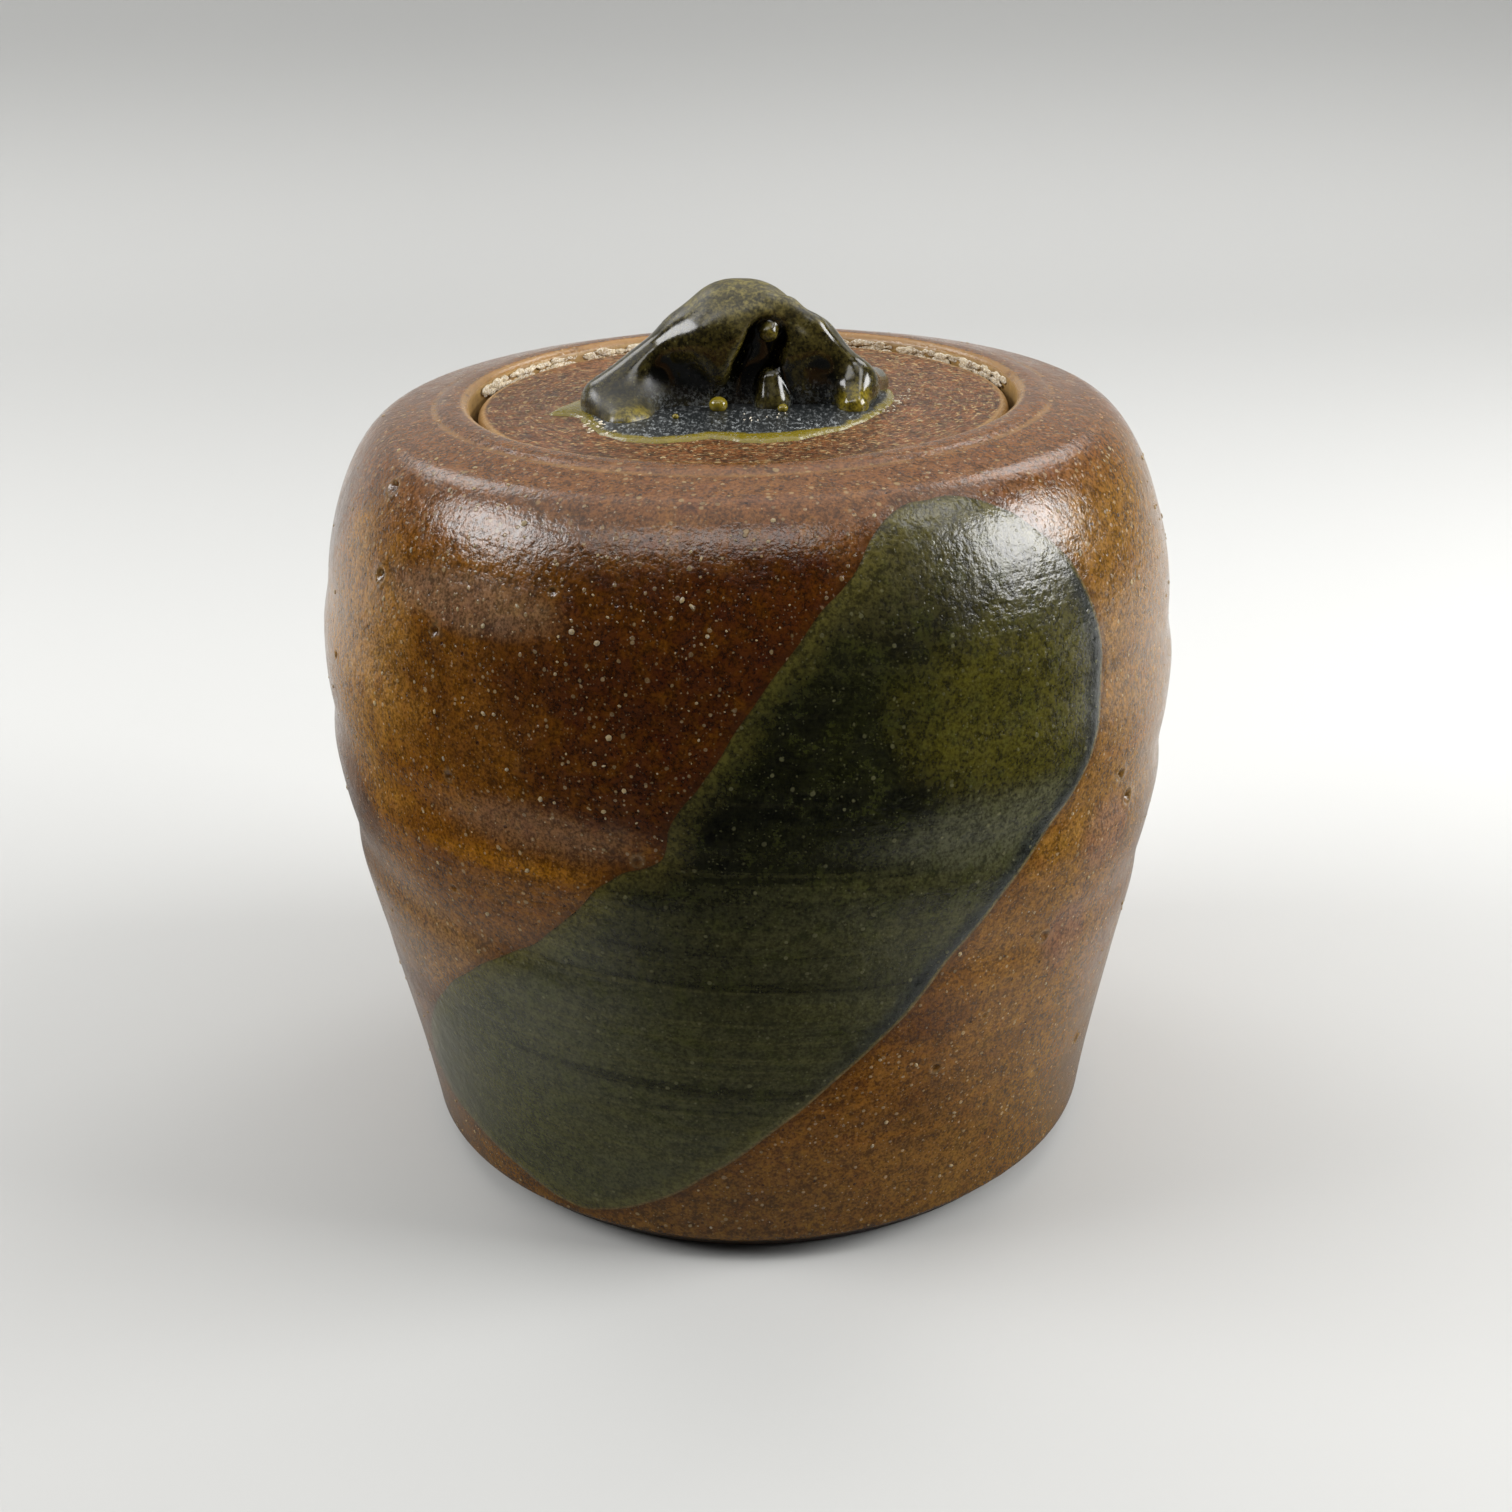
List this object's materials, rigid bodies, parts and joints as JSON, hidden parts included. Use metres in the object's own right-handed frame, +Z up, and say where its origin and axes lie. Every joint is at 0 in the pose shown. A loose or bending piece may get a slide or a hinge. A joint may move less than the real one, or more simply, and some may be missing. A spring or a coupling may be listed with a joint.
{
  "type": "mizusashi water jar",
  "caption": "Wheel-thrown stoneware fresh-water jar for tea, with a loose drop-in lid, a hand-pinched arched knob and a poured glaze sash.",
  "frame": {"origin": "centre of the foot, on the plane that the jar stands on", "axes": "+Z up along the jar's turning axis, -Y towards the front that carries the green glaze, +X to the right seen from the front"},
  "size_m": [0.1678, 0.1685, 0.1728],
  "materials": {
    "iron_brown_stoneware": "semi-gloss iron glaze, speckled with sand",
    "green_ash_glaze": "gloss",
    "kiln_wad_clay": "matt, broken",
    "lid_stoneware": "satin iron glaze, speckled with sand",
    "knob_glaze": "high gloss",
    "pool_glaze": "gloss at the edge, matt crystals inside"
  },
  "bodies": {
    "jar": {"jar_body": "iron_brown_stoneware", "green_glaze_pour": "green_ash_glaze", "kiln_wad_scars": "kiln_wad_clay"},
    "lid": {"lid": "lid_stoneware", "lid_knob": "knob_glaze", "knob_glaze_pool": "pool_glaze"}
  },
  "joints": [
    {"name": "lid_lift", "type": "slide", "parent": "jar", "child": "lid", "axis": [0, 0, 1], "range_m": [0, 0.08]}
  ]
}
